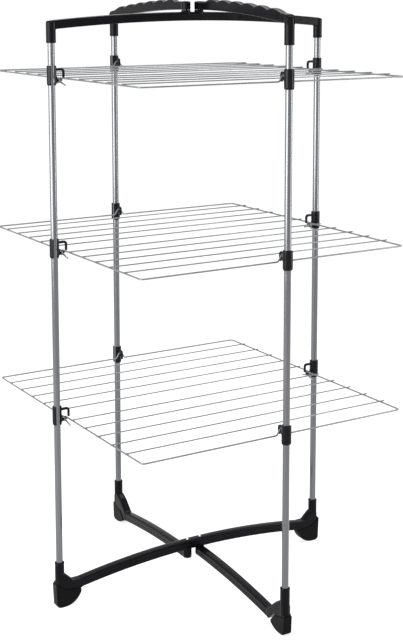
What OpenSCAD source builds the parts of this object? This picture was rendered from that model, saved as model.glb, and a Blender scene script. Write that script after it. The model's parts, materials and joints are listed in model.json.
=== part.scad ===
// Three-tier folding clothes drying rack.
//
// Axes: +Z is up, the drying wires run along X, and the origin is on the
// floor under the middle of the rack. Lengths are in millimetres.
//
// The left and right posts, the arched top bar and the arched base bar make
// one rigid frame in the plane Y = 0. The back post and the front post each
// carry a grip arm and a base arm, and swing on two pins near the middle of
// that frame. Every tier is two wire half shelves that drop down from the
// left and right posts, and rest in the hooks of the back and front posts.

/* [Frame] */
// Distance from the centre to the left and right posts
fixed_reach = 369.5; // [355:0.5:385]
// Distance from a swing hinge to the post it carries
swing_reach = 392; // [385:0.5:410]
// Distance of each swing hinge from the centre, along the base bar
hinge_offset = 18; // [16:0.5:24]
// Angle by which the open swing arms stand short of square
swing_lean = 1.75; // [1:0.25:2.5]
// Outside diameter of the post tubes
tube_d = 16; // [14:0.5:17]
// Wall thickness of the post tubes
tube_wall = 0.8; // [0.6:0.1:1.5]

/* [Heights] */
// Height of the post tubes' lower ends
tube_foot_z = 60; // [59:1:70]
// Height of the lower rims of the top sockets
socket_z = 1332; // [1300:1:1345]
// Height of the middle of the top bar's underside
top_bar_z = 1378.5; // [1375:0.5:1380]
// Height of the middle of the base bar's underside
base_bar_z = 64; // [62:0.5:68]
// Height of the wires of the lowest tier
lower_tier_z = 463; // [462:1:480]
// Height from one tier to the next
tier_pitch = 395; // [380:1:396]

/* [Shelves] */
// Half of the shelf's length along the drying wires
shelf_half_x = 350; // [349:0.1:351]
// Half of the shelf's depth, to the middle of the edge wire
shelf_half_y = 372; // [370.5:0.5:373]
// Diameter of the bent rim wire
rim_d = 3.8; // [3.4:0.1:4]
// Diameter of the straight drying wires
rod_d = 3; // [2.5:0.1:3.2]
// Distance between neighbouring drying wires
rod_pitch = 66; // [60:1:67]
// Height of the bump in the edge wire that sits in the hook
hump_h = 14; // [13:0.5:14]
// Slope of that bump's flanks
hump_a = 58; // [54:1:60]

/* [Plastic parts] */
// Outside diameter of the sockets at the post ends
socket_d = 22.4; // [21.5:0.1:24]
// Width of the moulded bars and arms
bar_w = 20; // [18:0.5:20.5]
// Height of the finger bumps on the grip arms
bump_h = 5.5; // [3:0.5:6]
// Number of finger bumps on each grip arm
bump_count = 6; // [4:1:6]
// Outside diameter of the clip sleeves
sleeve_d = 22; // [21:0.1:22.6]
// Width of the foot pads
pad_w = 23.5; // [23:0.5:28]

/* [Hidden] */
$fn = 64;
tier_zs = [lower_tier_z, lower_tier_z + tier_pitch, lower_tier_z + 2 * tier_pitch];
LOWER = 0;
MIDDLE = 1;
UPPER = 2;

// fits
slip = 0.05;                  // radial clearance of a part on a tube or a pin
gap = 0.3;                    // clearance between faces that pass each other

// posts
tube_top_z = socket_z + 40;
back_angle = -swing_lean;     // turn of the back arm about its hinge
pin_d = 5;

// top bar: an arch about a far centre, with a socket at each end
top_bar_r = 4170;
top_bar_h = 20.5;

// base bar and base arms
base_bar_r = 2000;
base_bar_h = 23;
base_socket_top_z = 111;
arm_z = base_bar_z - 24;      // underside of a base arm at its hinge
arm_h = 24 - gap;             // over the boss at the hinge
arm_bar_h = arm_h - 1.4;      // over the arm itself, which passes below the base bar
arm_r = 2400;

// grip arms
grip_z = 1404;                // underside of a grip arm at its hinge
grip_r = 2940;
grip_h = 20;
grip_step = 4;                // spacing of the points along the grip's outline
bump_start = 46.5;
bump_pitch = 54;

// feet: the seam over the pad, as distance inwards and height of its inner end,
// of its knee and of its outer end
pad_out = 14;
fixed_seam = [[52, 36.5], [12, 42], [-pad_out, 60]];
swing_seam = [[45, 19], [29, 35], [-pad_out, 46]];
// slope of the gusset, as distance inwards and height
fixed_crest = [[9, 81.5], [32, 60.5]];
swing_crest = [[10, 76], [29, 65.5], [56, 42]];
swing_pad_w = pad_w - 1.5;
pad_low = -4;                 // middle of the sole
sole_l = 8;
pad_r_out = 14;               // rounding of the sole's outer end
pad_toe = 11.5;               // where that rounding meets the outer face

// clips
sleeve_low = -16;             // lower end of the sleeve, from the tier's height
sleeve_high = 28.5;
sleeve_mouth = 38;            // half angle of the sleeve's opening
hook_t = 6;                   // thickness of the hook across its plane
pivot_d = 5;
pivot_drop = pivot_d / 2 + rim_d / 2 + gap;   // pivot axis below the rim wire
knuckle_d = rim_d * 1.25;     // thickness of the rim wire at a bend
pivot_reach = 26;
finger_reach = 32;
crest_z = hump_h - knuckle_d / 2 - gap;       // what the hump rests on
eye_front = 21.7;             // distance of the wire eyes from the post's axis
eye_back = eye_front - rim_d - 0.5;
tail_l = 25;
tail_drop = 6;
eye_lap = 1.5;                // where the side wires run into their eyes

// shelves
rod_out = 5;                  // how far a drying wire reaches past the rim
rod_lift = rim_d / 2 + rod_d / 2 - 0.25;
corner_r = 5;
hump_top = 7.5;

steel = [0.72, 0.73, 0.76];
wire_grey = [0.8, 0.8, 0.8];
black = [0.1, 0.1, 0.11];

// ---- helpers ----------------------------------------------------------

// height of an arch of radius r, below its crown, at distance d
function sag(r, d) = r - sqrt(r * r - d * d);

// an arch along X with its crown on the Z axis; section points are [width, height]
module arch(section, r, x0, x1) {
  a0 = acos(x1 / r);
  a1 = acos(x0 / r);
  translate([0, 0, -r])
    rotate([90, 0, 0])
      rotate([0, 0, a0])
        rotate_extrude(angle = a1 - a0, $fn = 720)
          translate([r, 0])
            polygon([for (p = section) [p[1], p[0]]]);
}

// a bar section with its upper edges cut back
function bar_section(w, h, cut, drop) = [
  [-w / 2, 0], [w / 2, 0], [w / 2, h - drop], [w / 2 - cut, h],
  [-w / 2 + cut, h], [-w / 2, h - drop]
];

// a flat shape drawn in the XZ plane and thickened along Y
module slab(points, t) {
  translate([0, t / 2, 0])
    rotate([90, 0, 0])
      linear_extrude(t) polygon(points);
}

// a round bar from a to b
module bar_between(a, b, d) {
  v = b - a;
  l = norm(v);
  translate(a)
    rotate([0, acos(v[2] / l), atan2(v[1], v[0])])
      cylinder(d = d, h = l, $fn = 24);
}

// a bend of a wire: a short round knuckle, with its axis turned by tilt about X
module knuckle(point, tilt, d) {
  translate(point)
    rotate([tilt, 0, 0])
      cylinder(d = knuckle_d, h = d * 1.05, center = true, $fn = 24);
}

// frames of reference: a fixed post (side -1 left, 1 right), a swing arm
// (turn 0 back, 180 front), each with +X pointing outwards from the centre
module at_fixed(side) {
  rotate([0, 0, side > 0 ? 0 : 180])
    translate([fixed_reach, 0, 0]) children();
}

module at_hinge(turn) {
  rotate([0, 0, turn])
    translate([-hinge_offset, 0, 0])
      rotate([0, 0, 90 + back_angle]) children();
}

module at_swing(turn) {
  at_hinge(turn) translate([swing_reach, 0, 0]) children();
}

// ---- posts ------------------------------------------------------------

module tube(z0, z1) {
  color(steel)
    translate([0, 0, z0])
      difference() {
        cylinder(d = tube_d, h = z1 - z0);
        translate([0, 0, -1]) cylinder(d = tube_d - 2 * tube_wall, h = z1 - z0 + 2);
      }
}

module bore(z0, z1) {
  translate([0, 0, z0]) cylinder(d = tube_d + 2 * slip, h = z1 - z0);
}

// ---- top bar ----------------------------------------------------------

module top_bar() {
  section = bar_section(bar_w, top_bar_h, 4, 5);
  end_z = top_bar_z - sag(top_bar_r, fixed_reach);
  color(black)
    difference() {
      union() {
        translate([0, 0, top_bar_z]) arch(section, top_bar_r, -fixed_reach, fixed_reach);
        for (side = [-1, 1])
          at_fixed(side) translate([0, 0, socket_z])
            cylinder(d = socket_d, h = end_z + top_bar_h - 1.5 - socket_z);
        for (x = [-hinge_offset, hinge_offset])
          translate([x, 0, top_bar_z + 6]) cylinder(d = 22, h = grip_z - gap - top_bar_z - 6);
      }
      for (side = [-1, 1]) at_fixed(side) bore(socket_z - 1, tube_top_z);
      for (x = [-hinge_offset, hinge_offset])
        translate([x, 0, top_bar_z + 4]) cylinder(d = pin_d, h = 40);
    }
}

// ---- base bar ---------------------------------------------------------

module base_bar() {
  section = bar_section(bar_w, base_bar_h, 2.5, 2.5);
  bar_end = fixed_reach - fixed_seam[0][0] - 1;
  color(black)
    difference() {
      union() {
        translate([0, 0, base_bar_z]) arch(section, base_bar_r, -bar_end, bar_end);
        for (side = [-1, 1])
          at_fixed(side) fixed_foot_block(base_bar_z - sag(base_bar_r, bar_end));
      }
      for (side = [-1, 1]) at_fixed(side) bore(tube_foot_z, base_socket_top_z + 1);
      for (x = [-hinge_offset, hinge_offset])
        translate([x, 0, base_bar_z - 1]) cylinder(d = pin_d, h = 60);
    }
}

// end of a base bar or arm: a socket and the block above the pad; heel is the
// lower outline inwards of the seam, and top_in the upper outline's inner end
module foot_block(seam, crest, heel, top_in) {
  outer = seam[2];
  slope = (outer[1] - seam[1][1]) / (seam[1][0] - outer[0]);
  face_x = pad_out - 1.5;
  translate([0, 0, outer[1]]) cylinder(d = socket_d, h = base_socket_top_z - outer[1]);
  slab(concat(heel,
              [[-seam[1][0], seam[1][1] + 0.1], [face_x, outer[1] - 1.5 * slope + 0.1],
               [face_x, outer[1] + 1], [8, outer[1] + 4], [8, crest[0][1] - 7]],
              [for (p = crest) [-p[0], p[1]]], [top_in]), bar_w + 1.2);
}

module fixed_foot_block(low) {
  x = fixed_seam[0][0];
  foot_block(fixed_seam, fixed_crest, [[-x - 6, low + 2], [-x, fixed_seam[0][1] + 0.1]],
             [-x - 6, low + base_bar_h - 2]);
}

// ---- swing arms -------------------------------------------------------

module base_arm(turn) {
  section = bar_section(bar_w, arm_bar_h, 2.5, 2.5);
  arm_end = swing_reach - 54;
  color(black)
    at_hinge(turn)
      difference() {
        union() {
          translate([0, 0, arm_z]) arch(section, arm_r, 4, arm_end);
          translate([0, 0, arm_z]) cylinder(d = bar_w + 2, h = arm_h);
          translate([swing_reach, 0, 0]) swing_foot_block(arm_z - sag(arm_r, arm_end));
        }
        translate([swing_reach, 0, 0]) bore(tube_foot_z, base_socket_top_z + 1);
        translate([0, 0, arm_z + 4]) cylinder(d = pin_d + 2 * slip, h = 60);
      }
}

// the arm drops past the pad's inner end, with a slot between the two
module swing_foot_block(low) {
  heel = [[-60, low + 1.2], [-55, low + 0.2], [-50.5, low + 4], [-33.5, 36.5]];
  foot_block(swing_seam, swing_crest, heel, [-60, low + arm_bar_h + 1]);
}

// finger bump profile: steep towards the hinge, gentle towards the post
function bump(x) =
  let (t = (x - bump_start) / bump_pitch)
  (t < 0 || t > bump_count) ? 0 : bump_h * sin(180 * pow(t - floor(t), 0.75));

module grip_arm(turn) {
  out_x = swing_reach + socket_d / 2 - 0.6;
  under = [for (x = [0 : grip_step : out_x]) [x, grip_z - sag(grip_r, x)]];
  top = [for (x = [out_x - 9 : -grip_step : 0])
    [x, grip_z - sag(grip_r, x) + grip_h + bump(x)]];
  last_z = grip_z - sag(grip_r, out_x);
  outer_end = [[out_x, last_z], [out_x, last_z + 11], [out_x - 3, last_z + 16.5]];
  color(black)
    at_hinge(turn)
      difference() {
        union() {
          slab(concat(under, outer_end, top), bar_w);
          translate([0, 0, grip_z]) cylinder(d = bar_w + 2, h = grip_h);
          translate([swing_reach, 0, socket_z])
            cylinder(d = socket_d, h = last_z + 12 - socket_z);
        }
        translate([swing_reach, 0, 0]) bore(socket_z - 1, tube_top_z);
        translate([0, 0, grip_z - 1]) cylinder(d = pin_d + 2 * slip, h = 40);
      }
}

// ---- foot pads --------------------------------------------------------

// outline: seam on top, upright outer face, short flat sole, underside curving up inwards
module foot_pad(seam, width) {
  inner = seam[0];
  x_in = pad_low - sole_l / 2;
  x_out = pad_low + sole_l / 2;
  in_z = inner[1] - 6.5;
  r_in = (pow(inner[0] + x_in, 2) + pow(in_z, 2)) / (2 * in_z);
  a_in = asin((inner[0] + x_in) / r_in);
  a_out = asin((pad_toe - x_out) / pad_r_out);
  underside = [for (i = [8 : -1 : 0])
    [x_in - r_in * sin(a_in * i / 8), r_in * (1 - cos(a_in * i / 8))]];
  toe = [for (i = [0 : 8])
    [x_out + pad_r_out * sin(a_out * i / 8), pad_r_out * (1 - cos(a_out * i / 8))]];
  top = [for (i = [2 : -1 : 0]) [-seam[i][0], seam[i][1] - 0.1]];
  color(black) slab(concat(underside, toe, top), width);
}

// ---- clips ------------------------------------------------------------

// split sleeve round the tube; the hook points inwards, along -X
module sleeve() {
  wedge = 20;
  difference() {
    union() {
      translate([0, 0, sleeve_low + 4]) cylinder(d = sleeve_d, h = sleeve_high - sleeve_low - 4);
      translate([0, 0, sleeve_low]) cylinder(d1 = sleeve_d - 2.4, d2 = sleeve_d, h = 4);
    }
    translate([0, 0, sleeve_low - 1])
      cylinder(d = tube_d + 2 * slip, h = sleeve_high - sleeve_low + 2);
    translate([0, 0, sleeve_low - 1])
      linear_extrude(sleeve_high - sleeve_low + 2)
        polygon([[0, 0], [-wedge * sin(sleeve_mouth), wedge * cos(sleeve_mouth)],
                 [wedge * sin(sleeve_mouth), wedge * cos(sleeve_mouth)]]);
  }
}

module finger() {
  x0 = -tube_d / 2 - 1;
  slab([[x0, 16.5], [-24, 17], [-27, 14.5], [-27, 1], [-28.5, -0.5], [-30.5, -0.5],
        [-finger_reach, 1], [-finger_reach, 16.5], [-29.5, 20.5], [-26, 22], [x0, 21.5]], hook_t);
}

// clip of a fixed post: a round peg below the finger carries the shelf eyes
module pivot_clip(side, tier) {
  color(black)
    at_fixed(side) translate([0, 0, tier_zs[tier]]) {
      sleeve();
      finger();
      slab([[-tube_d / 2 - 1, 6], [-12, 4], [-15, -1.5 - pivot_drop / 2],
            [-15, -pivot_drop - 3.2], [-tube_d / 2 - 1, -14]], hook_t);
      translate([-pivot_reach, 0, -pivot_drop]) rotate([0, 90, 0]) cylinder(d = pivot_d, h = 14);
    }
}

// clip of a swing post: a beak below the finger holds the hump of the edge wire
module hook_clip(turn, tier) {
  color(black)
    at_swing(turn) translate([0, 0, tier_zs[tier]]) {
      sleeve();
      finger();
      slab([[-tube_d / 2 - 1, -4], [-23.5, 6], [-25, 9], [-24.5, crest_z], [-18, crest_z],
            [-14, 9], [-tube_d / 2 - 1, 8]], hook_t);
    }
}

// ---- hinge pins -------------------------------------------------------

module top_pin(x) {
  head_z = grip_z + grip_h + 0.2;
  color(steel)
    translate([x, 0, 0]) {
      translate([0, 0, top_bar_z + 4]) cylinder(d = pin_d, h = head_z + 1 - top_bar_z - 4);
      translate([0, 0, head_z]) cylinder(d1 = 9, d2 = 6, h = 2.8);
    }
}

module base_pin(x) {
  color(steel)
    translate([x, 0, arm_z + 5])
      cylinder(d = pin_d, h = base_bar_z + base_bar_h + 0.8 - arm_z - 5);
}

// ---- half shelves -----------------------------------------------------

// a front half, drawn on the -Y side, or turned to be a back half: side wires,
// and the edge wire with its hump between them, with an eye at each end
module rim(turn, tier) {
  eye = (turn == 0) ? eye_back : eye_front;
  x = fixed_reach - eye;
  y = shelf_half_y;
  c = corner_r;
  // the hook stands off centre by the lean of the swing arm
  hx = hinge_offset - y * tan(swing_lean);
  half_w = hump_top / 2 + hump_h / tan(hump_a);
  flat = [[-x, c - y, 0], [c - x, -y, 0], [x - c, -y, 0], [x, c - y, 0]];
  hump = [[hx - half_w, -y, 0], [hx - hump_top / 2, -y, hump_h],
          [hx + hump_top / 2, -y, hump_h], [hx + half_w, -y, 0]];
  path = concat([[-x, -eye_lap, 0], flat[0], flat[1]], hump, [flat[2], flat[3], [x, -eye_lap, 0]]);
  color(wire_grey)
    translate([0, 0, tier_zs[tier]])
      rotate([0, 0, turn == 0 ? 180 : 0]) {
        for (i = [0 : len(path) - 2]) bar_between(path[i], path[i + 1], rim_d);
        for (p = flat) knuckle(p, 0, rim_d);
        for (p = hump) knuckle(p, 90, rim_d);
        for (s = [-x, x]) translate([s, 0, -pivot_drop]) eye();
      }
}

// the turn of wire round the pivot peg, with a short tail below it
module eye() {
  rotate([0, 90, 0])
    difference() {
      cylinder(r = pivot_drop + rim_d / 2 - 0.15, h = rim_d - 0.4, center = true, $fn = 48);
      cylinder(r = pivot_drop - rim_d / 2, h = rim_d, center = true, $fn = 48);
    }
  bar_between([0, -eye_lap, -pivot_drop - 0.3], [0, -tail_l, -pivot_drop - tail_drop], rim_d);
}

module rods(turn, tier) {
  x = shelf_half_x + rod_out;
  s = (turn == 0) ? 1 : -1;
  color(wire_grey)
    for (i = [1 : 5])
      translate([-x, s * (shelf_half_y - i * rod_pitch), tier_zs[tier] + rod_lift])
        rotate([0, 90, 0]) cylinder(d = rod_d, h = 2 * x, $fn = 24);
}

// ---- nodes ------------------------------------------------------------

BACK = 0;
FRONT = 180;
LEFT = -1;
RIGHT = 1;

at_fixed(LEFT) tube(tube_foot_z, tube_top_z);  // left_post
at_fixed(RIGHT) tube(tube_foot_z, tube_top_z);  // right_post
at_swing(BACK) tube(tube_foot_z, tube_top_z);  // back_post
at_swing(FRONT) tube(tube_foot_z, tube_top_z);  // front_post

top_bar();
base_bar();
grip_arm(BACK);  // back_grip_arm
grip_arm(FRONT);  // front_grip_arm
base_arm(BACK);  // back_base_arm
base_arm(FRONT);  // front_base_arm

at_fixed(LEFT) foot_pad(fixed_seam, pad_w);  // left_foot
at_fixed(RIGHT) foot_pad(fixed_seam, pad_w);  // right_foot
at_swing(BACK) foot_pad(swing_seam, swing_pad_w);  // back_foot
at_swing(FRONT) foot_pad(swing_seam, swing_pad_w);  // front_foot

pivot_clip(LEFT, UPPER);  // upper_left_clip
pivot_clip(RIGHT, UPPER);  // upper_right_clip
hook_clip(BACK, UPPER);  // upper_back_clip
hook_clip(FRONT, UPPER);  // upper_front_clip
pivot_clip(LEFT, MIDDLE);  // middle_left_clip
pivot_clip(RIGHT, MIDDLE);  // middle_right_clip
hook_clip(BACK, MIDDLE);  // middle_back_clip
hook_clip(FRONT, MIDDLE);  // middle_front_clip
pivot_clip(LEFT, LOWER);  // lower_left_clip
pivot_clip(RIGHT, LOWER);  // lower_right_clip
hook_clip(BACK, LOWER);  // lower_back_clip
hook_clip(FRONT, LOWER);  // lower_front_clip

top_pin(-hinge_offset);  // back_top_pin
top_pin(hinge_offset);  // front_top_pin
base_pin(-hinge_offset);  // back_base_pin
base_pin(hinge_offset);  // front_base_pin

rim(BACK, UPPER);  // upper_back_rim
rods(BACK, UPPER);  // upper_back_rods
rim(FRONT, UPPER);  // upper_front_rim
rods(FRONT, UPPER);  // upper_front_rods
rim(BACK, MIDDLE);  // middle_back_rim
rods(BACK, MIDDLE);  // middle_back_rods
rim(FRONT, MIDDLE);  // middle_front_rim
rods(FRONT, MIDDLE);  // middle_front_rods
rim(BACK, LOWER);  // lower_back_rim
rods(BACK, LOWER);  // lower_back_rods
rim(FRONT, LOWER);  // lower_front_rim
rods(FRONT, LOWER);  // lower_front_rods
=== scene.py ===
"""Detailed pieces for the three-tier folding drying rack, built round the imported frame.

Shapes are made in millimetres in a local frame: +Z up, and +X outwards from the middle of
the rack for everything that belongs to a post. place() carries them into the shared frame,
which is the CAD's, in metres.
"""

import json
import math

import bmesh
import bpy
from mathutils import Matrix, Vector


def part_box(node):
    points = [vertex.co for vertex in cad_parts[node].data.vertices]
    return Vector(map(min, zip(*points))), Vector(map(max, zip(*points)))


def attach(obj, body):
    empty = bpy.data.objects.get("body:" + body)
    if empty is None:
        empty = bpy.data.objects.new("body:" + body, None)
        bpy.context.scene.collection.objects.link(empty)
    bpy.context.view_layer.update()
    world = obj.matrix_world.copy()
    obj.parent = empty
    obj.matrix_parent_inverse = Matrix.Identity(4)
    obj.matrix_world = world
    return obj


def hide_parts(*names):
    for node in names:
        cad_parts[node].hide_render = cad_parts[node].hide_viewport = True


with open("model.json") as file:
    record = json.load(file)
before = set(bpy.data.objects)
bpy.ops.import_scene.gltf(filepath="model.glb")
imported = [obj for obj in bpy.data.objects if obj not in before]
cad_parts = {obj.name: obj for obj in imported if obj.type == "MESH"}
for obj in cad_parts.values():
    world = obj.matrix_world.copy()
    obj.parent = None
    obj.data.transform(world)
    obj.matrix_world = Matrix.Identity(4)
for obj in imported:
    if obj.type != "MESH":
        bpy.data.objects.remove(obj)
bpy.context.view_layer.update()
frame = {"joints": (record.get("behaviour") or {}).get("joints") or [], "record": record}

MM = 0.001
BODIES = frame["record"]["behaviour"]["bodies"]
BODY_OF = {node: body for body, nodes in BODIES.items() for node in nodes}
JOINTS = {joint["name"]: joint for joint in frame["joints"]}


# ---- places taken from the frame ----------------------------------------------------

def middle(node):
    """Middle of a CAD node's box, in millimetres."""
    low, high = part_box(node)
    return (low + high) / 2 / MM


def post_frame(node, hinge=None):
    """Matrix from a post's local frame (mm) to the shared frame (m), turned to face outwards.

    The origin is the post's foot, or the hinge of the wing that carries it.
    """
    post = middle(node)
    start = hinge if hinge else Vector((0, 0, 0))
    turn = math.atan2(post.y - start.y, post.x - start.x)
    origin = hinge if hinge else Vector((post.x, post.y, 0))
    return (Matrix.Scale(MM, 4) @ Matrix.Translation((origin.x, origin.y, 0))
            @ Matrix.Rotation(turn, 4, "Z"))


def hinge_point(joint):
    """Where a joint's axis stands, in millimetres."""
    return Vector(JOINTS[joint]["pos_m"]) / MM


WINGS = ("back", "front")
SIDES = ("left", "right")
TIERS = ("upper", "middle", "lower")
HINGE = {w: hinge_point(f"{w}_wing_swing") for w in WINGS}
AT_POST = {s: post_frame(f"{s}_post") for s in SIDES}
AT_HINGE = {w: post_frame(f"{w}_post", HINGE[w]) for w in WINGS}
SHARED = Matrix.Scale(MM, 4)

REACH = middle("right_post").x                       # centre of the rack to a fixed post
WING_REACH = (middle("back_post") - HINGE["back"]).to_2d().length
for w in WINGS:
    AT_POST[w] = AT_HINGE[w] @ Matrix.Translation((WING_REACH, 0, 0))

tube_low, tube_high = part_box("left_post")
TUBE_Z = (tube_low.z / MM, tube_high.z / MM)
TUBE_R = (tube_high.x - tube_low.x) / 2 / MM
TUBE_WALL = 0.8
BORE_R = TUBE_R + 0.12
SOCKET_R = TUBE_R + 3.2
SOCKET_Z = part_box("top_bar")[0].z / MM               # lower rim of the top sockets
BASE_SOCKET_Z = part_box("base_bar")[1].z / MM         # upper rim of the base sockets
CROWN_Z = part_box("top_bar")[1].z / MM                # top of the bosses under the grip arms
HINGE_X = HINGE["front"].x
PIN_R = 2.5
PIN_HOLE_R = 2.6
SLEEVE_Z = (-16, 28.5)                               # ends of a clip's sleeve, from its tier
TIER_Z = {t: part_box(f"{t}_left_clip")[0].z / MM - SLEEVE_Z[0] for t in TIERS}


# ---- shapes ---------------------------------------------------------------------------

def sag(radius, distance):
    """Drop of an arch below its crown."""
    return radius - math.sqrt(radius * radius - distance * distance)


def bend(points, radii, steps=5, closed=False):
    """The polyline with its corners turned into smooth bends."""
    out = []
    count = len(points)
    for i, point in enumerate(points):
        radius = radii[i] if isinstance(radii, (list, tuple)) else radii
        if not closed and i in (0, count - 1) or radius == 0:
            out.append(point.copy())
            continue
        back = points[i - 1] - point
        ahead = points[(i + 1) % count] - point
        turn = math.pi - back.angle(ahead)
        cut = min(radius * math.tan(turn / 2), 0.48 * back.length, 0.48 * ahead.length)
        a, b = point + back.normalized() * cut, point + ahead.normalized() * cut
        for k in range(steps + 1):
            t = k / steps
            out.append(a * (1 - t) ** 2 + point * 2 * t * (1 - t) + b * t * t)
    return out


def vectors(points):
    return [Vector(p) for p in points]


def inset(points, depth):
    """A closed outline moved inwards by depth, with mitred corners."""
    area = sum(a.x * b.y - b.x * a.y for a, b in zip(points, points[1:] + points[:1]))
    side = 1 if area > 0 else -1
    out = []
    for i, point in enumerate(points):
        before = (point - points[i - 1]).normalized()
        after = (points[(i + 1) % len(points)] - point).normalized()
        n1 = Vector((-before.y, before.x)) * side
        n2 = Vector((-after.y, after.x)) * side
        out.append(point + (n1 + n2) * depth / (1 + n1.dot(n2)))
    return out


def shell(bm, rings, loop=False):
    """Skins a row of equal rings, and closes the ends or joins the last ring to the first."""
    rows = [[bm.verts.new(p) for p in ring] for ring in rings]
    pairs = list(zip(rows, rows[1:])) + ([(rows[-1], rows[0])] if loop else [])
    for low, high in pairs:
        for i in range(len(low)):
            j = (i + 1) % len(low)
            bm.faces.new((low[i], low[j], high[j], high[i]))
    if not loop:
        bm.faces.new(rows[0][::-1])
        bm.faces.new(rows[-1])


def lathe(bm, profile, at=(0, 0), sides=64, loop=False):
    """Turns (radius, z) pairs round a vertical axis."""
    circle = [(math.cos(a), math.sin(a)) for a in
              (2 * math.pi * i / sides for i in range(sides))]
    shell(bm, [[(at[0] + max(r, 0.02) * c, at[1] + max(r, 0.02) * s, z) for c, s in circle]
               for r, z in profile], loop)


def slab(bm, outline, thick, edge=1.0, radius=1.5, y=0.0):
    """An XZ outline thickened along Y, with its rim rounded by edge."""
    points = bend(vectors(outline), radius, 4, closed=True)
    rounding = [(edge * (1 - math.sin(a)), edge * (1 - math.cos(a)))
                for a in (math.radians(90 - 30 * k) for k in range(4))]
    layers = [(y - thick / 2 + rise, depth) for rise, depth in rounding]
    layers += [(y + thick / 2 - rise, depth) for rise, depth in reversed(rounding)]
    shell(bm, [[(p.x, level, p.y) for p in inset(points, depth)] for level, depth in layers])


def sweep(bm, path, section, sizes=None, across=(0, 1, 0)):
    """Carries a section of (along across, square to it) pairs along a path."""
    across = Vector(across)
    heading = (path[1] - path[0]).normalized()
    rings = []
    for i, point in enumerate(path):
        ahead = path[min(i + 1, len(path) - 1)] - path[max(i - 1, 0)]
        turn = heading.rotation_difference(ahead.normalized())
        across = (turn @ across).normalized()
        heading = ahead.normalized()
        square = heading.cross(across)
        size = sizes[i] if sizes else 1
        rings.append([point + (across * a + square * b) * size for a, b in section])
    shell(bm, rings)


def round_section(radius, sides=16):
    return [(radius * math.cos(2 * math.pi * i / sides), radius * math.sin(2 * math.pi * i / sides))
            for i in range(sides)]


def wire(bm, path, diameter, across=(0, 0, 1), sides=16):
    """A round wire with softly rounded ends."""
    r = diameter / 2
    tip = 0.35 * r
    first, last = path[1] - path[0], path[-1] - path[-2]
    path = [path[0], path[0] + first.normalized() * tip] + path[1:-1] + [
        path[-1] - last.normalized() * tip, path[-1]]
    sizes = [0.65] + [1] * (len(path) - 2) + [0.65]
    sweep(bm, path, round_section(r, sides), sizes, across)


def box_section(width, height, radius):
    """Rounded rectangle, centred."""
    w, h = width / 2, height / 2
    return [(p.x, p.y) for p in
            bend(vectors([(-w, -h), (w, -h), (w, h), (-w, h)]), radius, 3, closed=True)]


def bar(bm, stations, width, groove=0.0, top_radius=4.5):
    """A moulded bar along X; stations are (x, underside, height)."""
    half = width / 2
    rings = []
    for x, low, height in stations:
        split = height * 0.52
        outline = vectors([
            (-half, 0), (half, 0), (half, split - 1.6), (half - groove, split - 0.8),
            (half - groove, split), (half, split + 0.8), (half, height), (0, height + 0.5),
            (-half, height), (-half, split + 0.8), (-half + groove, split),
            (-half + groove, split - 0.8), (-half, split - 1.6)])
        radii = [1.6, 1.6, 0, 0, 0, 0, top_radius, 30, top_radius, 0, 0, 0, 0]
        ring = bend(outline, radii, 4, closed=True)
        rings.append([(x, p.x, low + p.y) for p in ring])
    shell(bm, rings)


def arch(bm, crown, radius, height, x0, x1, width, groove=0.0, step=6):
    """An arched bar from x0 to x1, with its highest point at x = 0."""
    count = max(2, round((x1 - x0) / step))
    xs = [x0 + (x1 - x0) * i / count for i in range(count + 1)]
    bar(bm, [(x, crown - sag(radius, abs(x)), height) for x in xs], width, groove)


def socket(bm, x, z0, z1, mouth_down, dome=4.5):
    """A round socket with a thickened lip at its mouth and a rounded other end."""
    r = SOCKET_R
    lip = [(0, 0), (r - 0.5, 0), (r + 0.4, 0.7), (r + 0.4, 3.2), (r, 4.4)]
    end = [(r, dome), (r - 0.16 * dome, 0.42 * dome), (r - 0.5 * dome, 0.1 * dome),
           (r - dome, 0), (0, 0)]
    if mouth_down:
        profile = [(a, z0 + b) for a, b in lip] + [(a, z1 - b) for a, b in end]
    else:
        profile = [(a, z1 - b) for a, b in lip] + [(a, z0 + b) for a, b in end]
    lathe(bm, profile, (x, 0))


def bore_tool(x, z0, z1, radius, flare_low=0.0, flare_high=0.0):
    """Cutter for a round hole, opened out at either end."""
    bm = bmesh.new()
    profile = [(0, z0 - 1), (radius + flare_low, z0 - 1), (radius + flare_low, z0),
               (radius, z0 + max(flare_low, 0.01)), (radius, z1 - max(flare_high, 0.01)),
               (radius + flare_high, z1), (radius + flare_high, z1 + 1), (0, z1 + 1)]
    lathe(bm, profile, (x, 0), 48)
    return bm


# ---- from shells to pieces -----------------------------------------------------------

def as_object(bm, name):
    """Turns a bmesh into an object of the scene."""
    bmesh.ops.recalc_face_normals(bm, faces=bm.faces)
    mesh = bpy.data.meshes.new(name)
    bm.to_mesh(mesh)
    bm.free()
    obj = bpy.data.objects.new(name, mesh)
    bpy.context.scene.collection.objects.link(obj)
    return obj


def settle(obj):
    """Applies the object's modifiers."""
    graph = bpy.context.evaluated_depsgraph_get()
    mesh = bpy.data.meshes.new_from_object(obj.evaluated_get(graph))
    old = obj.data
    obj.modifiers.clear()
    obj.data = mesh
    bpy.data.meshes.remove(old)


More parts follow.
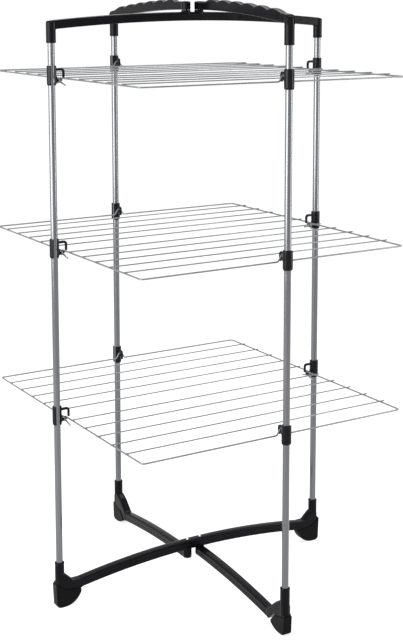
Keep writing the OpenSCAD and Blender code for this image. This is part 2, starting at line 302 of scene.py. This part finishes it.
def moulded(bm, name, voxel, tools=(), keep=0.5, passes=4):
    """Fuses overlapping shells into one moulded solid with soft edges, then cuts the holes."""
    obj = as_object(bm, name)
    fuse = obj.modifiers.new("fuse", "REMESH")
    fuse.mode = "VOXEL"
    fuse.voxel_size = voxel
    soften = obj.modifiers.new("soften", "SMOOTH")
    soften.factor = 0.5
    soften.iterations = passes
    thin = obj.modifiers.new("thin", "DECIMATE")
    thin.ratio = keep
    settle(obj)
    cutters = [as_object(tool, "cutter") for tool in tools]
    for cutter in cutters:
        cut = obj.modifiers.new("cut", "BOOLEAN")
        cut.operation = "DIFFERENCE"
        cut.solver = "EXACT"
        cut.object = cutter
    if cutters:
        settle(obj)
    for cutter in cutters:
        bpy.data.objects.remove(cutter)
    return obj


def place(obj, matrix, node, slot, sharp=32):
    """Moves a finished shape into the shared frame, and ties it to its CAD node."""
    obj.data.transform(matrix)
    obj.data.shade_smooth()
    obj.data.set_sharp_from_angle(angle=math.radians(sharp))
    obj.name = obj.data.name = f"{node}_detail"
    obj.data.materials.clear()
    obj.data.materials.append(MATERIALS[slot])
    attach(obj, BODY_OF[node])
    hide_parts(node)
    return obj


def copy_of(obj):
    twin = bpy.data.objects.new(obj.name, obj.data.copy())
    bpy.context.scene.collection.objects.link(twin)
    return twin


# ---- materials ------------------------------------------------------------------------

class Nodes:
    """A material with its shader, and short calls for adding nodes to it."""

    def __init__(self, name):
        self.material = bpy.data.materials.new(name)
        self.material.use_nodes = True
        self.tree = self.material.node_tree
        self.shader = self.tree.nodes["Principled BSDF"]
        self.place = self.add("ShaderNodeTexCoord").outputs["Object"]

    def add(self, kind, **values):
        node = self.tree.nodes.new(kind)
        for key, value in values.items():
            setattr(node, key, value)
        return node

    def link(self, output, target):
        self.tree.links.new(output, target)

    def stretched(self, scale):
        """Object coordinates stretched by a factor along each axis."""
        node = self.add("ShaderNodeMapping")
        self.link(self.place, node.inputs["Vector"])
        node.inputs["Scale"].default_value = scale
        return node.outputs["Vector"]

    def noise(self, scale, detail=4.0, rough=0.55, vector=None):
        node = self.add("ShaderNodeTexNoise")
        self.link(vector or self.place, node.inputs["Vector"])
        node.inputs["Scale"].default_value = scale
        node.inputs["Detail"].default_value = detail
        node.inputs["Roughness"].default_value = rough
        return node.outputs["Fac"]

    def ramp(self, value, stops):
        """Colour ramp; stops are (position, (r, g, b))."""
        node = self.add("ShaderNodeValToRGB")
        self.link(value, node.inputs["Fac"])
        elements = node.color_ramp.elements
        while len(elements) < len(stops):
            elements.new(0.5)
        for element, (position, colour) in zip(elements, stops):
            element.position = position
            element.color = (*colour, 1)
        return node.outputs["Color"]

    def span(self, value, low, high, start=0.3, end=0.7):
        """Maps start..end of a value to low..high."""
        node = self.add("ShaderNodeMapRange")
        self.link(value, node.inputs["Value"])
        node.inputs["From Min"].default_value = start
        node.inputs["From Max"].default_value = end
        node.inputs["To Min"].default_value = low
        node.inputs["To Max"].default_value = high
        return node.outputs["Result"]

    def mix(self, factor, a, b):
        node = self.add("ShaderNodeMix", data_type="RGBA")
        colour_in = [s for s in node.inputs if s.type == "RGBA"]
        self.link(factor, node.inputs[0])
        for target, value in zip(colour_in, (a, b)):
            if isinstance(value, tuple):
                target.default_value = (*value, 1)
            else:
                self.link(value, target)
        return [s for s in node.outputs if s.type == "RGBA"][0]

    def edges(self, start=0.52, end=0.62):
        """1 along outer edges, 0 on flats."""
        geometry = self.add("ShaderNodeNewGeometry")
        return self.span(geometry.outputs["Pointiness"], 0, 1, start, end)

    def bump(self, height, strength, distance, below=None):
        node = self.add("ShaderNodeBump")
        node.inputs["Strength"].default_value = strength
        node.inputs["Distance"].default_value = distance
        self.link(height, node.inputs["Height"])
        if below:
            self.link(below, node.inputs["Normal"])
        return node.outputs["Normal"]

    def finish(self, colour, roughness, normal, **constants):
        self.link(colour, self.shader.inputs["Base Color"])
        self.link(roughness, self.shader.inputs["Roughness"])
        self.link(normal, self.shader.inputs["Normal"])
        for socket_name, value in constants.items():
            self.shader.inputs[socket_name.replace("_", " ")].default_value = value
        return self.material


def plastic(name, dark, light, rough, grain, specular):
    """Moulded black plastic: a fine spark-eroded grain, with dust and paler rubbed edges."""
    n = Nodes(name)
    base = n.ramp(n.noise(18, 5), [(0.3, dark), (0.7, light)])
    worn = n.mix(n.edges(), base, tuple(c * 2 + 0.003 for c in light))
    dust = n.span(n.noise(260, 3, 0.7), 0, 0.12, 0.58, 0.8)
    colour = n.mix(dust, worn, (0.022, 0.022, 0.024))
    roughness = n.span(n.noise(45, 6, 0.6), rough - 0.06, rough + 0.09)
    fine = n.bump(n.noise(2600, 2, 0.5), 0.25, grain)
    normal = n.bump(n.noise(30, 3), 0.12, 0.0006, fine)
    return n.finish(colour, roughness, normal, Specular_IOR_Level=specular)


def painted_tube(name):
    """Silver-grey lacquer on drawn steel tube: faint draw lines, streaks and orange peel."""
    n = Nodes(name)
    drawn = n.noise(900, 3, 0.5, n.stretched((1, 1, 0.012)))
    patch = n.noise(7, 4, 0.5, n.stretched((1, 1, 0.35)))
    base = n.ramp(patch, [(0.3, (0.120, 0.125, 0.135)), (0.7, (0.142, 0.147, 0.158))])
    streak = n.span(drawn, 0, 0.35, 0.45, 0.75)
    colour = n.mix(streak, base, (0.16, 0.165, 0.175))
    roughness = n.span(n.noise(60, 5, 0.6), 0.15, 0.23)
    lines = n.bump(drawn, 0.008, 0.0001)
    normal = n.bump(n.noise(300, 2), 0.004, 0.0001, lines)
    return n.finish(colour, roughness, normal, Metallic=0.85, Coat_Weight=0.15,
                    Coat_Roughness=0.1)


def coated_wire(name):
    """Grey powder coat on wire, slightly lumpy, with a few darker rub marks."""
    n = Nodes(name)
    base = n.ramp(n.noise(25, 5), [(0.3, (0.145, 0.150, 0.157)), (0.7, (0.185, 0.190, 0.197))])
    marks = n.span(n.noise(140, 4, 0.7), 0, 0.5, 0.62, 0.78)
    colour = n.mix(marks, base, (0.11, 0.11, 0.115))
    roughness = n.span(n.noise(90, 4), 0.26, 0.42)
    normal = n.bump(n.noise(700, 3), 0.15, 0.0003)
    return n.finish(colour, roughness, normal, Metallic=0.6)


def steel(name):
    """Bright zinc-plated pin, with fine turning rings and a touch of tarnish."""
    n = Nodes(name)
    tarnish = n.noise(90, 5, 0.6)
    colour = n.ramp(tarnish, [(0.35, (0.62, 0.62, 0.63)), (0.65, (0.80, 0.80, 0.81))])
    roughness = n.span(n.noise(200, 4), 0.16, 0.30)
    rings = n.noise(2200, 2, 0.5, n.stretched((0.05, 0.05, 1)))
    normal = n.bump(rings, 0.1, 0.0002)
    return n.finish(colour, roughness, normal, Metallic=1.0)


BLUE_BLACK = ((0.0015, 0.0016, 0.0023), (0.0028, 0.0030, 0.0040))     # darkest and lightest
RUBBER_BLACK = ((0.0016, 0.0016, 0.0018), (0.0030, 0.0030, 0.0033))
MATERIALS = {
    "moulding": plastic("moulding_plastic", *BLUE_BLACK, 0.22, 0.00012, 0.08),
    "clip": plastic("clip_plastic", *BLUE_BLACK, 0.20, 0.00012, 0.12),
    "foot": plastic("foot_rubber", *RUBBER_BLACK, 0.42, 0.00026, 0.06),
    "tube": painted_tube("tube_lacquer"),
    "wire": coated_wire("wire_coating"),
    "pin": steel("pin_steel"),
}


# ---- posts ------------------------------------------------------------------------------

def post_tube():
    """A thin-walled tube with eased outer ends."""
    bm = bmesh.new()
    z0, z1 = TUBE_Z
    ease, steps = 0.3, 24
    outer, inner = TUBE_R, TUBE_R - TUBE_WALL
    heights = [z0 + ease + (z1 - z0 - 2 * ease) * i / steps for i in range(steps + 1)]
    profile = [(inner, z0), (outer - ease, z0)] + [(outer, z) for z in heights]
    profile += [(outer - ease, z1), (inner, z1)] + [(inner, z) for z in reversed(heights)]
    lathe(bm, profile, sides=64, loop=True)
    return as_object(bm, "post")


for name in SIDES + WINGS:
    place(post_tube(), AT_POST[name], f"{name}_post", "tube")


# ---- top bar ------------------------------------------------------------------------------

BAR_W = 20
BAR_VOXEL = 1.0
TOP_R, TOP_H = 4170, 20.5                # radius of the arch, and height of the bar
TOP_CROWN = CROWN_Z - 4.7 - TOP_H        # underside of the top bar at its middle
top_end = TOP_CROWN - sag(TOP_R, REACH)

bm = bmesh.new()
arch(bm, TOP_CROWN, TOP_R, TOP_H, -REACH, REACH, BAR_W)
for side in (-1, 1):
    socket(bm, side * REACH, SOCKET_Z, top_end + TOP_H - 0.8, True)
    boss = [(0, TOP_CROWN + 14), (9.4, TOP_CROWN + 14), (11.2, TOP_CROWN + TOP_H - 1.2),
            (11, CROWN_Z - 0.7), (10.3, CROWN_Z), (0, CROWN_Z)]
    lathe(bm, boss, (side * HINGE_X, 0))
tools = [bore_tool(side * REACH, SOCKET_Z, TUBE_Z[1], BORE_R, flare_low=0.8) for side in (-1, 1)]
place(moulded(bm, "top_bar", BAR_VOXEL, tools), SHARED, "top_bar", "moulding")


# ---- grip arms ----------------------------------------------------------------------------

GRIP_Z = CROWN_Z + 0.3                   # underside of the grip arms at the hinge
GRIP_R, GRIP_H = 2940, 20
BUMPS, BUMP_START, BUMP_PITCH, BUMP_H = 6, 46.5, 54, 5.5
STATION_STEP = 2


def finger_bump(x):
    """Rise of the finger bumps: steep towards the hinge and gentle towards the post."""
    t = (x - BUMP_START) / BUMP_PITCH
    if t < 0 or t > BUMPS:
        return 0
    return BUMP_H * math.sin(math.pi * (t - math.floor(t)) ** 0.75)


def grip_arm():
    """Arched grip with finger bumps, a hinge boss at x = 0 and a post socket at its end."""
    bm = bmesh.new()
    end_x = WING_REACH + SOCKET_R - 0.6
    stations = []
    x = 0
    while x < end_x - 6:
        stations.append((x, GRIP_Z - sag(GRIP_R, x), GRIP_H + finger_bump(x)))
        x += STATION_STEP
    end_low = GRIP_Z - sag(GRIP_R, end_x)
    stations += [(end_x - 6, end_low + 0.2, GRIP_H - 1.5), (end_x - 3, end_low + 0.1, GRIP_H - 3.5),
                 (end_x - 1, end_low + 0.5, GRIP_H - 7), (end_x, end_low + 2, GRIP_H - 11)]
    bar(bm, stations, BAR_W, top_radius=5.5)
    lathe(bm, [(0, GRIP_Z), (10.2, GRIP_Z), (11, GRIP_Z + 0.8), (11, GRIP_Z + GRIP_H - 2.4),
               (10.2, GRIP_Z + GRIP_H - 0.7), (8.4, GRIP_Z + GRIP_H), (0, GRIP_Z + GRIP_H)])
    socket(bm, WING_REACH, SOCKET_Z, end_low + 16.5, True, dome=5)
    tools = [bore_tool(WING_REACH, SOCKET_Z, TUBE_Z[1], BORE_R, flare_low=0.8),
             bore_tool(0, GRIP_Z, GRIP_Z + GRIP_H, PIN_HOLE_R, 0.3, 0.3)]
    return moulded(bm, "grip_arm", BAR_VOXEL, tools)


grip = grip_arm()
place(copy_of(grip), AT_HINGE["back"], "back_grip_arm", "moulding")
place(grip, AT_HINGE["front"], "front_grip_arm", "moulding")


# ---- base bar and base arms -----------------------------------------------------------------

BASE_R, BASE_H = 2000, 23
BASE_CROWN = 64                          # underside of the base bar at its middle
ARM_R, ARM_H, ARM_BOSS_H = 2400, 22.3, 23.7
ARM_CROWN = BASE_CROWN - 24
GUSSET_W = 21.2
PANEL_W, PANEL_PROUD = 12.5, 1.6         # raised panel on the gusset's slope
PAD_OUT = 14                             # from a post's middle out to its foot pad's face
# seam over a foot pad, as (distance inwards, height) of its inner end, knee and outer end
FIXED_SEAM = ((52, 36.5), (12, 42), (-PAD_OUT, 60))
SWING_SEAM = ((45, 19), (29, 35), (-PAD_OUT, 46))
# slope of the gusset above it
FIXED_CREST = ((9, 81.5), (32, 60.5))
SWING_CREST = ((10, 76), (29, 65.5), (56, 42))


def foot_block(bm, x0, side, seam, crest, heel, top_in):
    """Socket, gusset and a raised panel on its slope, above a foot pad's seam."""
    (knee, knee_z), (outer, outer_z) = seam[1:]
    slope = (outer_z - knee_z) / (knee - outer)
    face = PAD_OUT - 1.5
    socket(bm, x0, outer_z - 1, BASE_SOCKET_Z, False, dome=0.5)
    outline = heel + [(-knee, knee_z + 0.2), (face, outer_z - 1.5 * slope + 0.2),
                      (face, outer_z + 1), (8, outer_z + 4), (8, crest[0][1] - 7)]
    outline += [(-x, z) for x, z in crest] + [top_in]
    slab(bm, [(x0 + side * x, z) for x, z in outline], GUSSET_W, 2.0, 4)
    a, b = (Vector((-x, z)) for x, z in crest[:2])
    along = (b - a).normalized()
    proud = Vector((along.y, -along.x))
    a, b = a + along * 3, b - along
    raised, sunk = proud * PANEL_PROUD, -proud * 4
    panel = [a + raised, b + raised, b + sunk, a + sunk]
    slab(bm, [(x0 + side * p.x, p.y) for p in panel], PANEL_W, 0.8, 1.2)


bar_end = REACH - FIXED_SEAM[0][0] - 1
bar_low = BASE_CROWN - sag(BASE_R, bar_end)
fixed_heel = [(-58, bar_low + 2), (-FIXED_SEAM[0][0], FIXED_SEAM[0][1] + 0.2)]
bm = bmesh.new()
arch(bm, BASE_CROWN, BASE_R, BASE_H, -bar_end, bar_end, BAR_W, groove=1.2)
for side in (-1, 1):
    foot_block(bm, side * REACH, side, FIXED_SEAM, FIXED_CREST, fixed_heel,
               (-58, bar_low + BASE_H - 1))
tools = [bore_tool(side * REACH, TUBE_Z[0], BASE_SOCKET_Z, BORE_R, flare_high=0.8)
         for side in (-1, 1)]
tools += [bore_tool(side * HINGE_X, BASE_CROWN - 2, BASE_CROWN + BASE_H + 2, PIN_HOLE_R)
          for side in (-1, 1)]
place(moulded(bm, "base_bar", BAR_VOXEL, tools), SHARED, "base_bar", "moulding")


def base_arm():
    """Arm of a wing; it drops past the foot pad's inner end, with a slot between the two."""
    bm = bmesh.new()
    end = WING_REACH - 54
    low = ARM_CROWN - sag(ARM_R, end)
    arch(bm, ARM_CROWN, ARM_R, ARM_H, 3, end, BAR_W, groove=1.2)
    top = ARM_CROWN + ARM_BOSS_H
    lathe(bm, [(0, ARM_CROWN), (8.2, ARM_CROWN), (10.2, ARM_CROWN + 0.8), (11, ARM_CROWN + 2.8),
               (11, top - 0.8), (10.2, top), (0, top)])
    heel = [(-62, low + 1), (-54.5, low - 0.4), (-50, low + 4), (-33.5, 36.8)]
    foot_block(bm, WING_REACH, 1, SWING_SEAM, SWING_CREST, heel, (-62, low + ARM_H))
    tools = [bore_tool(WING_REACH, TUBE_Z[0], BASE_SOCKET_Z, BORE_R, flare_high=0.8),
             bore_tool(0, ARM_CROWN + 4, top + 1, PIN_HOLE_R)]
    return moulded(bm, "base_arm", BAR_VOXEL, tools)


arm = base_arm()
place(copy_of(arm), AT_HINGE["back"], "back_base_arm", "moulding")
place(arm, AT_HINGE["front"], "front_base_arm", "moulding")


# ---- feet ---------------------------------------------------------------------------------

SOLE = (-8.0, 0.0)                       # inner and outer end of the flat sole
TOE, TOE_R = 11.5, 14.0                  # where the rounded toe ends, and its radius


def foot_pad(seam, width):
    """A rubber boot: upright outer face, short flat sole, underside curving up inwards."""
    rise = seam[0][1] - 6.5
    run = seam[0][0] + SOLE[0]
    r_in = (run * run + rise * rise) / (2 * rise)
    a_in = math.asin(run / r_in)
    a_out = math.asin((TOE - SOLE[1]) / TOE_R)
    steps = 12
    outline = [(SOLE[0] - r_in * math.sin(a_in * i / steps),
                r_in * (1 - math.cos(a_in * i / steps))) for i in range(steps, -1, -1)]
    outline += [(SOLE[1] + TOE_R * math.sin(a_out * i / steps),
                 TOE_R * (1 - math.cos(a_out * i / steps))) for i in range(steps + 1)]
    outline += [(-x, z) for x, z in reversed(seam)]
    bm = bmesh.new()
    slab(bm, outline, width, 1.8, 0)
    return moulded(bm, "foot", 0.8, keep=0.5, passes=3)


for name in SIDES:
    place(foot_pad(FIXED_SEAM, 23.5), AT_POST[name], f"{name}_foot", "foot")
for name in WINGS:
    place(foot_pad(SWING_SEAM, 22), AT_POST[name], f"{name}_foot", "foot")


# ---- clips --------------------------------------------------------------------------------

SLEEVE_R = 11
MOUTH = math.radians(38)                 # half of the sleeve's opening
PEG_Z = -4.7                             # height of the shelf's pivot, from its tier
HOOK_T = 6
CLIP_VOXEL = 0.55
CLIP_KEEP, CLIP_PASSES = 0.4, 2


def sleeve(bm):
    """A sleeve split along +Y, with rolled lips and a tapered lower end."""
    start, end = math.pi / 2 + MOUTH, math.pi * 2.5 - MOUTH
    steps = 44
    z0, z1 = SLEEVE_Z
    levels = [(z0, -1.5), (z0 + 0.8, -0.9), (z0 + 4, 0), (z1 - 3, 0), (z1 - 0.8, -0.1), (z1, -0.7)]
    rings = []
    for z, grow in levels:
        outer, inner = [], []
        for i in range(steps + 1):
            a = start + (end - start) * i / steps
            lip = max(0, 1 - min(a - start, end - a) / 0.34)
            r = SLEEVE_R + grow + 0.8 * lip * lip * (3 - 2 * lip)
            outer.append((r * math.cos(a), r * math.sin(a), z))
            inner.append((BORE_R * math.cos(a), BORE_R * math.sin(a), z))
        rings.append(outer + inner[::-1])
    shell(bm, rings)


def finger(bm):
    """A bent finger over the wire, tapering to its tip."""
    corners = vectors([(-8.6, 0, 19.2), (-29.3, 0, 19.6), (-29.3, 0, -0.5)])
    path = bend(corners, [0, 6.5, 0], 8)
    sizes = [1 - 0.12 * (i / (len(path) - 1)) ** 2 for i in range(len(path))]
    sweep(bm, path, box_section(HOOK_T, 6, 1.7), sizes)


def pivot_clip():
    """Clip of a fixed post; the eyes of two half shelves turn on its peg."""
    bm = bmesh.new()
    sleeve(bm)
    finger(bm)
    slab(bm, [(-8.6, 6), (-12, 4.5), (-15, -3), (-15.2, -8), (-8.6, -14)], HOOK_T, 1.2)
    wire(bm, vectors([(-12, 0, PEG_Z), (-26, 0, PEG_Z)]), 5, across=(0, 1, 0), sides=24)
    return moulded(bm, "pivot_clip", CLIP_VOXEL, keep=CLIP_KEEP, passes=CLIP_PASSES)


def hook_clip():
    """Clip of a wing's post; its beak holds up the hump of an edge wire."""
    bm = bmesh.new()
    sleeve(bm)
    finger(bm)
    beak = [(-8.6, -4), (-23.5, 5), (-25.2, 8), (-24.6, 11.3), (-18, 11.3), (-14, 8.6),
            (-8.6, 8)]
    slab(bm, beak, HOOK_T, 1.2)
    return moulded(bm, "hook_clip", CLIP_VOXEL, keep=CLIP_KEEP, passes=CLIP_PASSES)


patterns = {"fixed": pivot_clip(), "swing": hook_clip()}
for tier in TIERS:
    for name in SIDES + WINGS:
        pattern = patterns["fixed" if name in SIDES else "swing"]
        raised = AT_POST[name] @ Matrix.Translation((0, 0, TIER_Z[tier]))
        place(copy_of(pattern), raised, f"{tier}_{name}_clip", "clip", sharp=50)
for pattern in patterns.values():
    bpy.data.objects.remove(pattern)


# ---- hinge pins -------------------------------------------------------------------------

def top_pin():
    """Pin with a domed head, on top of a grip arm's boss."""
    low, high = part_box("front_top_pin")
    z0, z1 = low.z / MM, high.z / MM
    head = z1 - 2.8
    bm = bmesh.new()
    lathe(bm, [(0, z0), (2.1, z0), (PIN_R, z0 + 0.5), (PIN_R, head), (4.3, head),
               (4.6, head + 0.35), (4.4, head + 1.0), (3.7, head + 1.8), (2.5, head + 2.45),
               (1.2, head + 2.75), (0, z1)], sides=40)
    return as_object(bm, "pin")


def base_pin():
    """Pin with a low rounded head, over the top of the base bar."""
    low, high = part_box("front_base_pin")
    z0, z1 = low.z / MM, high.z / MM
    bm = bmesh.new()
    lathe(bm, [(0, z0), (2.1, z0), (PIN_R, z0 + 0.5), (PIN_R, z1 - 0.8), (3.6, z1 - 0.8),
               (3.5, z1 - 0.3), (2.6, z1 + 0.4), (1.3, z1 + 0.9), (0, z1 + 1)], sides=40)
    return as_object(bm, "pin")


for wing in WINGS:
    at = SHARED @ Matrix.Translation((HINGE[wing].x, HINGE[wing].y, 0))
    place(top_pin(), at, f"{wing}_top_pin", "pin")
    place(base_pin(), at, f"{wing}_base_pin", "pin")


# ---- half shelves -----------------------------------------------------------------------

RIM_D, ROD_D = 3.8, 3.0
RODS, ROD_PITCH = 5, 66
KNUCKLE_R = 1.25 * RIM_D / 2             # of the CAD rim's corners, which set its box
HALF_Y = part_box("upper_back_rim")[1].y / MM - KNUCKLE_R
WELD_SINK = 0.25                         # by which the drying wires sink into the side wires
ROD_LIFT = (RIM_D + ROD_D) / 2 - WELD_SINK
HUMP_H, HUMP_TOP = 14, 7.5
HUMP_A = math.radians(58)                # slope of the hump's flanks
EYE_REACH = {"front": 21.7, "back": 17.4}    # from a fixed post in to the side wires
EYE_STEPS = 12
TAIL, TAIL_DROP = 25, 6


def half_rim(wing):
    """Side wires, edge wire with its hump, and the turned eyes, drawn on the -Y side."""
    x, y = REACH - EYE_REACH[wing], HALF_Y
    post = middle("front_post")
    hump_x = HINGE_X + (post.x - HINGE_X) * y / abs(post.y)
    foot = HUMP_TOP / 2 + HUMP_H / math.tan(HUMP_A)
    eye = []
    for i in range(EYE_STEPS + 1):
        a = math.pi * i / EYE_STEPS
        eye.append((-PEG_Z * math.sin(a), PEG_Z - PEG_Z * math.cos(a)))
    left = [Vector((-x, -TAIL, 2 * PEG_Z - TAIL_DROP)), Vector((-x, -5, 2 * PEG_Z - 0.6))]
    left += [Vector((-x, a, b)) for a, b in reversed(eye)]
    right = [Vector((-p.x, p.y, p.z)) for p in reversed(left)]
    corners = [left[-1], Vector((-x, -y, 0)), Vector((hump_x - foot, -y, 0)),
               Vector((hump_x - HUMP_TOP / 2, -y, HUMP_H)),
               Vector((hump_x + HUMP_TOP / 2, -y, HUMP_H)),
               Vector((hump_x + foot, -y, 0)), Vector((x, -y, 0)), right[0]]
    path = bend(corners, [0, 8, 7, 5, 5, 7, 8, 0], 6)
    bm = bmesh.new()
    wire(bm, left[:-1] + path + right[1:], RIM_D, across=(1, 0, 0))
    return as_object(bm, "rim")


def rod_set(wing):
    """Five straight wires, each welded on top of the side wires."""
    low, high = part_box("upper_back_rods")
    reach = (high.x - low.x) / 2 / MM
    weld_x = REACH - EYE_REACH[wing]
    weld = [(1.2, 1.1), (2.3, 1.3), (2.55, 1.75), (2.3, 2.25), (1.2, 2.5)]   # bead's outline
    bm = bmesh.new()
    for i in range(1, RODS + 1):
        y = -(HALF_Y - i * ROD_PITCH)
        wire(bm, [Vector((-reach, y, ROD_LIFT)), Vector((reach, y, ROD_LIFT))], ROD_D)
        for x in (-weld_x, weld_x):
            lathe(bm, weld, (x, y), sides=16)
    return as_object(bm, "rods")


for tier in TIERS:
    for wing in WINGS:
        turn = Matrix.Rotation(math.pi if wing == "back" else 0, 4, "Z")
        at = SHARED @ Matrix.Translation((0, 0, TIER_Z[tier])) @ turn
        place(half_rim(wing), at, f"{tier}_{wing}_rim", "wire", sharp=60)
        place(rod_set(wing), at, f"{tier}_{wing}_rods", "wire", sharp=60)


# ---- floor, light and camera ---------------------------------------------------------------

def floor():
    """Paper with a glow of its own, so that it stays white away from the lights."""
    bm = bmesh.new()
    bmesh.ops.create_circle(bm, cap_ends=True, radius=150, segments=64)
    obj = as_object(bm, "floor")
    n = Nodes("floor_paper")
    colour = n.ramp(n.noise(3, 3), [(0.3, (0.34, 0.34, 0.34)), (0.7, (0.37, 0.37, 0.37))])
    roughness = n.span(n.noise(20, 2), 0.85, 0.95)
    n.finish(colour, roughness, n.bump(n.noise(300, 2), 0.02, 0.0005),
             Specular_IOR_Level=0.0, Emission_Strength=0.68)
    n.shader.inputs["Emission Color"].default_value = (1, 1, 1, 1)
    obj.data.materials.append(n.material)


def softbox(name, place_at, aim, width, height, radiance):
    """A rectangular light; radiance is what a mirror would show of it."""
    light = bpy.data.lights.new(name, "AREA")
    light.shape = "RECTANGLE"
    light.size, light.size_y = width, height
    light.energy = radiance * math.pi * width * height
    obj = bpy.data.objects.new(name, light)
    bpy.context.scene.collection.objects.link(obj)
    obj.location = place_at
    obj.rotation_mode = "QUATERNION"
    obj.rotation_quaternion = aim.to_track_quat("-Z", "Y")
    obj.visible_camera = False


def standing_softbox(name, azimuth, width, radiance):
    """An upright softbox; azimuth is measured from the camera's side of the rack."""
    distance, height, centre_z = 2.7, 1.9, 1.35
    a = CAMERA_SIDE + math.radians(azimuth)
    out = Vector((math.cos(a), math.sin(a), 0))
    softbox(name, out * distance + Vector((0, 0, centre_z)), -out, width, height, radiance)


# Pitched down a little, where the photograph's view is level, to keep the lens shift small.
CAMERA_AT = Vector((-1.605, -2.6724, 1.4329))
CAMERA_YAW, CAMERA_PITCH = math.radians(31.818), math.radians(7.648)
CAMERA_LENS, CAMERA_SHIFT = 72.64, (-0.01535, -0.2329)
CAMERA_SIDE = math.atan2(CAMERA_AT.y, CAMERA_AT.x)      # its azimuth, seen from the rack

floor()
standing_softbox("key_left", azimuth=-52, width=2.7, radiance=7.5)
standing_softbox("key_right", azimuth=82, width=0.7, radiance=9)
softbox("top", Vector((0.7, 0.7, 3.4)), Vector((-0.2, -0.2, -1)), width=1.8, height=1.8,
        radiance=5)

world = bpy.data.worlds.new("studio")
bpy.context.scene.world = world
world.use_nodes = True
background = world.node_tree.nodes["Background"]
background.inputs["Color"].default_value = (1, 1, 1, 1)
background.inputs["Strength"].default_value = 1.0

camera_data = bpy.data.cameras.new("camera")
camera_data.sensor_width = 36
camera_data.lens = CAMERA_LENS
camera_data.shift_x, camera_data.shift_y = CAMERA_SHIFT
camera = bpy.data.objects.new("camera", camera_data)
bpy.context.scene.collection.objects.link(camera)
camera.location = CAMERA_AT
look = Vector((math.sin(CAMERA_YAW) * math.cos(CAMERA_PITCH),
               math.cos(CAMERA_YAW) * math.cos(CAMERA_PITCH), -math.sin(CAMERA_PITCH)))
camera.rotation_mode = "QUATERNION"
camera.rotation_quaternion = look.to_track_quat("-Z", "Y")
bpy.context.scene.camera = camera
bpy.context.scene.view_settings.view_transform = "Standard"
